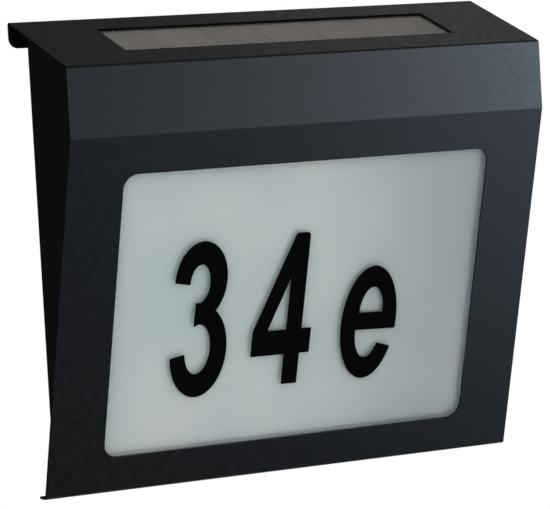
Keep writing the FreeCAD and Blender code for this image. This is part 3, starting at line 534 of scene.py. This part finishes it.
def gathered(parts):
    """Several (points, faces) parts as one."""
    shifts = np.cumsum([0] + [len(points) for points, faces in parts])
    faces = [[shift + k for k in face] for shift, part in zip(shifts, parts) for face in part[1]]
    return np.concatenate([points for points, faces in parts]), faces


def split_by(points, keys):
    """The groups of points that share the same answers to every key."""
    code = sum(np.asarray(key).astype(int) << k for k, key in enumerate(keys))
    return [points[code == value] for value in np.unique(code)]


def plate_axes(node):
    """Up along a flat sloping node and out of its front: the direction in which its corners spread least."""
    points = node_points(node)
    out = np.linalg.svd(points - points.mean(axis=0), full_matrices=False)[2][2]
    out = out if out[1] < 0 else -out
    return np.cross(out, ALONG_SIGN), out


def about_axis(points, axis):
    """The points' levels along an axis, what is left of them across it, and the middle of that."""
    level = points @ axis
    across = points - level[:, None] * axis
    return level, across, (across.min(axis=0) + across.max(axis=0)) / 2


def frame_of(axis):
    """Two directions across an axis that make a right-handed set with it."""
    side = np.cross(axis, (0.0, 0.3, 1.0) if abs(axis[0]) < 0.9 else (0.0, 1.0, 0.0))
    side /= np.linalg.norm(side)
    return side, np.cross(axis, side)


def revolved(radius, level, sides, start, axis):
    """A closed tube of rings, where a point lies its radius out from the axis and its level along it.

    A ring has one radius and one level, or one of them for each of its sides.
    """
    shape = (len(radius), sides)
    radius = np.broadcast_to(radius.reshape(len(radius), -1), shape)
    level = np.broadcast_to(level.reshape(len(level), -1), shape)
    turn = 2 * math.pi * np.arange(sides) / sides
    side, other = frame_of(axis)
    around = np.cos(turn)[:, None] * side + np.sin(turn)[:, None] * other
    points = start + radius[..., None] * around + level[..., None] * axis
    return points.reshape(-1, 3), tube_faces(*shape)


def threaded(crest, level, sides):
    """Radius of a thread: it falls in a V once a pitch, and the V climbs a pitch in a turn.

    radius = crest - depth * |2 * fraction(level / pitch - turn) - 1|
    """
    turn = np.arange(sides) / sides
    share = (level[:, None] / thread_pitch - turn) % 1.0
    return crest - thread_depth * np.abs(2 * share - 1)


# ---------------------------------------------------------------- pieces
def make_solar_cells():
    """Upright strips of thin silicon film, parted by scribed grooves and laminated to the cover above them.

    Across the sheet the level is flat within a strip and drops by the groove's depth between two strips.
    """
    low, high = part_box("solar_film")
    up, out = plate_axes("solar_film")
    corners = node_points("solar_film")
    rise = corners @ up
    level = corners @ out
    top = level.max() + film_bond
    bottom = level.min()
    left, strips, width = film_strips()
    edges = left + width * np.arange(1, strips)
    floor_half = groove_width / 2
    groove = np.array([
        (-groove_width, 0), (-floor_half, -groove_depth), (floor_half, -groove_depth), (groove_width, 0),
    ])
    line = (edges[:, None, None] * np.array([1, 0]) + groove).reshape(-1, 2) + np.array([0, top])
    outline = np.concatenate([[(low.x, bottom), (low.x, top)], line, [(high.x, top), (high.x, bottom)]])
    section = outline[::-1, :1] * ALONG_SIGN + outline[::-1, 1:] * out
    points, faces = drawn_out(section, rise.min() * up, rise.max() * up)
    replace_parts(piece_from("solar_cells", points, faces, "solar_film"), "solar_film")


def make_solar_bead():
    """A bead of sealant in the corner between the solar cover's raised middle and the opening round it; its
    black line also stands in for the shade in that gap.

    Its front is a hollow quarter of an ellipse: in = width * (1 - sin t), level = height * (1 - cos t).
    """
    up, out = plate_axes("solar_film")
    corners = node_points("cover_shell")
    level = corners @ out
    in_top = level > level.max() - near_plane
    opening = corners[in_top & (np.abs(corners[:, 0]) < cad_high.x - cover_end)]
    half = np.abs(opening[:, 0]).max()
    front = (opening @ up).min()
    back = (opening @ up).max()
    cover = (node_points("solar_glass") @ out).max()
    bow = np.linspace(0, math.pi / 2, bead_steps)
    inwards = np.concatenate([bead_width * (1 - np.sin(bow)), [0.0, bead_width]])
    lift = cover + np.concatenate([bead_height * (1 - np.cos(bow)), [-bead_root, -bead_root]])
    rings = []
    for side, end, turn in ((-1, front, 1), (1, front, 1), (1, back, -1), (-1, back, -1)):
        sideways = (side * (half - inwards))[:, None] * ALONG_SIGN
        rings.append(sideways + (end + turn * inwards)[:, None] * up + lift[:, None] * out)
    starts = len(inwards) * np.arange(len(rings))
    faces = quads_between(starts, np.roll(starts, -1), len(inwards))
    # painted shade: the bead's black sealant stands in for the shade in the gap round the solar cover as
    # well as being sealant
    piece_from("solar_bead", np.concatenate(rings), faces, "foam_seal", finishes["black_sealant_and_shade"])


def make_stud_rods():
    """Welded studs with a rolled thread and a small chamfer at the free end.

    radius = the thread's, but at most crest * (tip + (1 - tip) * s / pitch) in the first pitch from the end
    """
    up, out = plate_axes("opal_diffuser")
    points = node_points("face_studs")
    rods = []
    for stud in split_by(points, [points[:, 0] > 0, points @ up > (points @ up).mean()]):
        level, _, centre = about_axis(stud, out)
        length = level.max() - level.min()
        crest = (stud[:, 0].max() - stud[:, 0].min()) / 2
        steps = np.linspace(0, length, 1 + round(length / thread_pitch * rod_rings))
        chamfer = np.clip(steps / thread_pitch, 0.0, 1.0)[:, None]
        limit = crest * (rod_tip + (1 - rod_tip) * chamfer)
        radius = np.minimum(threaded(crest, steps, rod_sides), limit)
        rods.append(revolved(radius, steps, rod_sides, centre + level.min() * out, out))
    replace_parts(piece_from("stud_rods", *gathered(rods), "zinc_plated_steel"), "face_studs")


def pan_screw(points, axis):
    """A thread-forming screw along the axis, under a domed head with a cross recess.

    Head: level = foot + dome * (1 - (r / R) ** 2), less the recess where |u| and |v| lie in the cross.
    """
    level, across, centre = about_axis(points, axis)
    far = np.linalg.norm(across - centre, axis=1)
    head_radius = far.max()
    shank = far[level < level.min() + shank_reach].max()
    under = level[far > head_rim * head_radius].min()
    head_height = level.max() - under
    steps = np.linspace(level.min(), under, 1 + round((under - level.min()) / thread_pitch * screw_rings))
    ring = head_radius * np.array(head_rings)
    dome = head_dome * head_height
    foot = level.max() - dome
    rise = foot + dome * (1 - (ring / head_radius) ** 2)
    rise[:2] = under, foot - head_rounding
    turn = 2 * math.pi * np.arange(screw_sides) / screw_sides
    u = np.abs(ring[:, None] * np.cos(turn))
    v = np.abs(ring[:, None] * np.sin(turn))
    slot = cross_slot * head_radius
    reach = cross_reach * head_radius
    cross = ((u < slot) & (v < reach)) | ((v < slot) & (u < reach))
    head_radii = np.repeat(ring[:, None], screw_sides, axis=1)
    shank_levels = np.repeat(steps[:, None], screw_sides, axis=1)
    radius = np.concatenate([threaded(shank, steps, screw_sides), head_radii])
    height = np.concatenate([shank_levels, rise[:, None] - cross_depth * head_height * cross])
    return revolved(radius, height, screw_sides, centre, axis)


def make_screws():
    """Both screws of each node in pan_screws, cut with a thread and a cross."""
    for node, axis in pan_screws.items():
        points = node_points(node)
        middle = (points[:, 0].min() + points[:, 0].max()) / 2
        screws = [pan_screw(part, np.array(axis)) for part in split_by(points, [points[:, 0] > middle])]
        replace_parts(piece_from(f"{node}_cut", *gathered(screws), "zinc_plated_steel"), node)


def make_weld_beads():
    """Short welds inside each cheek: a bead swells once a ripple along its run and thins out at both ends.

    radius = size * (1 - swell + swell * cos(2 pi s / ripple)) * (1 + end - (2 s / length - 1) ** taper)
    """
    face_out = plate_axes("opal_diffuser")[1]
    top_out = plate_axes("solar_seal")[1]
    steps = np.linspace(0, weld_length, weld_rings)
    ripple = 1 - weld_swell + weld_swell * np.cos(2 * math.pi * steps / weld_ripple)
    size = weld_size * ripple * (1 + weld_end - (2 * steps / weld_length - 1) ** weld_taper)
    beads = []
    for side, cheek in ((-1, node_points("side_cheek_left")), (1, node_points("side_cheek_right"))):
        inside = np.abs(cheek[:, 0]).min()
        low = cheek[cheek[:, 2].argmin()]
        back = cheek[cheek[:, 2].argmax()]
        ridge = cheek[cheek[:, 1] < cheek[:, 1].min() + ridge_reach]
        band_low = ridge[ridge[:, 2].argmin()]
        band_high = ridge[ridge[:, 2].argmax()]
        runs = [(low, band_low, -face_out), (band_low, band_high, TO_WALL), (band_high, back, -top_out)]
        for start, end, inwards in runs:
            length = np.linalg.norm(end - start)
            run = (end - start) / length
            for share in weld_shares if length > long_seam else weld_shares[:1]:
                begin = start + run * (share * length - weld_length / 2) + inwards * weld_inset
                begin[0] = side * (inside - weld_sink)
                beads.append(revolved(size, steps, weld_sides, begin, run))
    piece_from("weld_beads", *gathered(beads), "powder_coated_steel")


def make_moulding_marks():
    """Ejector-pin marks on the light box's flat back, each turned from its rings about an axis along Y."""
    points = node_points("light_box")
    level = points[:, 1].max()
    flat = points[points[:, 1] > level - near_plane]
    low = flat.min(axis=0)
    reach = np.ptp(flat, axis=0)
    radius, height = MM * np.array(ejector_rings).T
    marks = []
    for up, row in ejector_rows.items():
        for across in row:
            place = np.array([low[0] + across * reach[0], level, low[2] + up * reach[2]])
            marks.append(revolved(radius, height, ejector_sides, place, TO_WALL))
    piece_from("ejector_marks", *gathered(marks), "white_moulding")


# ---------------------------------------------------------------- stage, light and camera
def pale_floor():
    """A matt white floor, lifted above white for the camera, so that only the sign's shadow shows on it."""
    material, tree, shader, place = surface("pale_floor", 0.9, specular=0.1)
    mottle(tree, shader, place, 0.3, "#e6e6e6", "#ececec")
    seen = add(tree, "ShaderNodeLightPath").outputs["Is Camera Ray"]
    shader.inputs["Emission Color"].default_value = linear("#ffffff")
    lift = add(tree, "ShaderNodeMath", {0: seen, 1: floor_lift}, operation="MULTIPLY").outputs[0]
    tree.links.new(lift, shader.inputs["Emission Strength"])
    return material


def make_floor():
    half = floor_size / 2
    level = cad_low.z - floor_drop
    square = ((-half, -half), (half, -half), (half, half), (-half, half))
    corners = np.array([(x, y, level) for x, y in square])
    object_from("floor", corners, [(0, 1, 2, 3)], pale_floor())


def make_room():
    """White for the camera and through glass, even daylight on matt surfaces, and a dim room in reflections.

    The room is room_level all round, plus a soft-edged bright patch round each of bright_parts.
    """
    world = bpy.data.worlds.new("studio")
    bpy.context.scene.world = world
    world.cycles.sampling_method = "NONE"      # so that Light Path tells matt from glossy light exactly
    world.use_nodes = True
    tree = world.node_tree
    tree.nodes.clear()
    direction = add(tree, "ShaderNodeTexCoord").outputs["Generated"]
    gloss = room_level
    for side, edge, level in bright_parts.values():
        towards = {0: direction, 1: Vector(side).normalized()}
        facing = add(tree, "ShaderNodeVectorMath", towards, operation="DOT_PRODUCT").outputs["Value"]
        rise = {"Value": facing, "From Min": edge, "From Max": 1.0, "To Min": 0.0, "To Max": level}
        patch = add(tree, "ShaderNodeMapRange", rise, interpolation_type="SMOOTHSTEP").outputs["Result"]
        gloss = add(tree, "ShaderNodeMath", {0: gloss, 1: patch}, operation="ADD").outputs[0]
    path = add(tree, "ShaderNodeLightPath").outputs
    lit = {0: path["Is Glossy Ray"], 2: daylight, 3: gloss}
    level = add(tree, "ShaderNodeMix", lit, data_type="FLOAT").outputs[0]
    clear_view = {0: path["Is Camera Ray"], 1: path["Is Transmission Ray"]}
    seen = add(tree, "ShaderNodeMath", clear_view, operation="MAXIMUM").outputs[0]
    strength = add(tree, "ShaderNodeMix", {0: seen, 2: level, 3: 1.0}, data_type="FLOAT").outputs[0]
    background = add(tree, "ShaderNodeBackground", {"Color": linear("#ffffff"), "Strength": strength})
    add(tree, "ShaderNodeOutputWorld", {"Surface": background.outputs["Background"]})


def make_softbox(name, place, width, height, watts, colour):
    """A rectangular lamp that faces the middle of the sign and that the camera doesn't see."""
    light = bpy.data.lights.new(name, "AREA")
    light.shape = "RECTANGLE"
    light.size = width
    light.size_y = height
    light.energy = watts
    light.color = linear(colour)[:3]
    lamp = bpy.data.objects.new(name, light)
    lamp.location = place
    lamp.rotation_euler = ((cad_low + cad_high) / 2 - Vector(place)).to_track_quat("-Z", "Y").to_euler()
    lamp.visible_camera = False
    bpy.context.scene.collection.objects.link(lamp)
    return lamp


def pieces_in(name, *wanted):
    """A collection of the pieces in one of these finishes, for the lamps that light nothing else."""
    chosen = bpy.data.collections.new(name)
    for piece in bpy.context.scene.objects:
        if any(place.material in wanted for place in piece.material_slots):
            chosen.objects.link(piece)
    return chosen


def make_lights():
    """Softboxes for the matt light, and the windows and white boards that only gloss and bare metal show."""
    coated = pieces_in("coated_sheets", finishes["powder_coated_steel"])
    bare = pieces_in("bare_metal", finishes["zinc_plated_steel"], finishes["nickel_contact"])
    for name, settings in softboxes.items():
        make_softbox(name, *settings).visible_glossy = False
    for lamps, lit in ((window_lights, coated), (cards, bare)):
        for name, settings in lamps.items():
            lamp = make_softbox(name, *settings)
            lamp.visible_diffuse = False
            lamp.light_linking.receiver_collection = lit


def make_camera():
    data = bpy.data.cameras.new("camera")
    data.lens = camera_lens
    data.sensor_width = sensor_width
    camera = bpy.data.objects.new("camera", data)
    camera.location = camera_place
    camera.rotation_euler = [math.radians(turn) for turn in camera_turn]
    bpy.context.scene.collection.objects.link(camera)
    bpy.context.scene.camera = camera


dress_nodes()
make_solar_cells()
make_solar_bead()
make_stud_rods()
make_screws()
make_weld_beads()
make_moulding_marks()
make_floor()
make_room()
make_lights()
make_camera()
bpy.context.scene.view_settings.view_transform = "Standard"
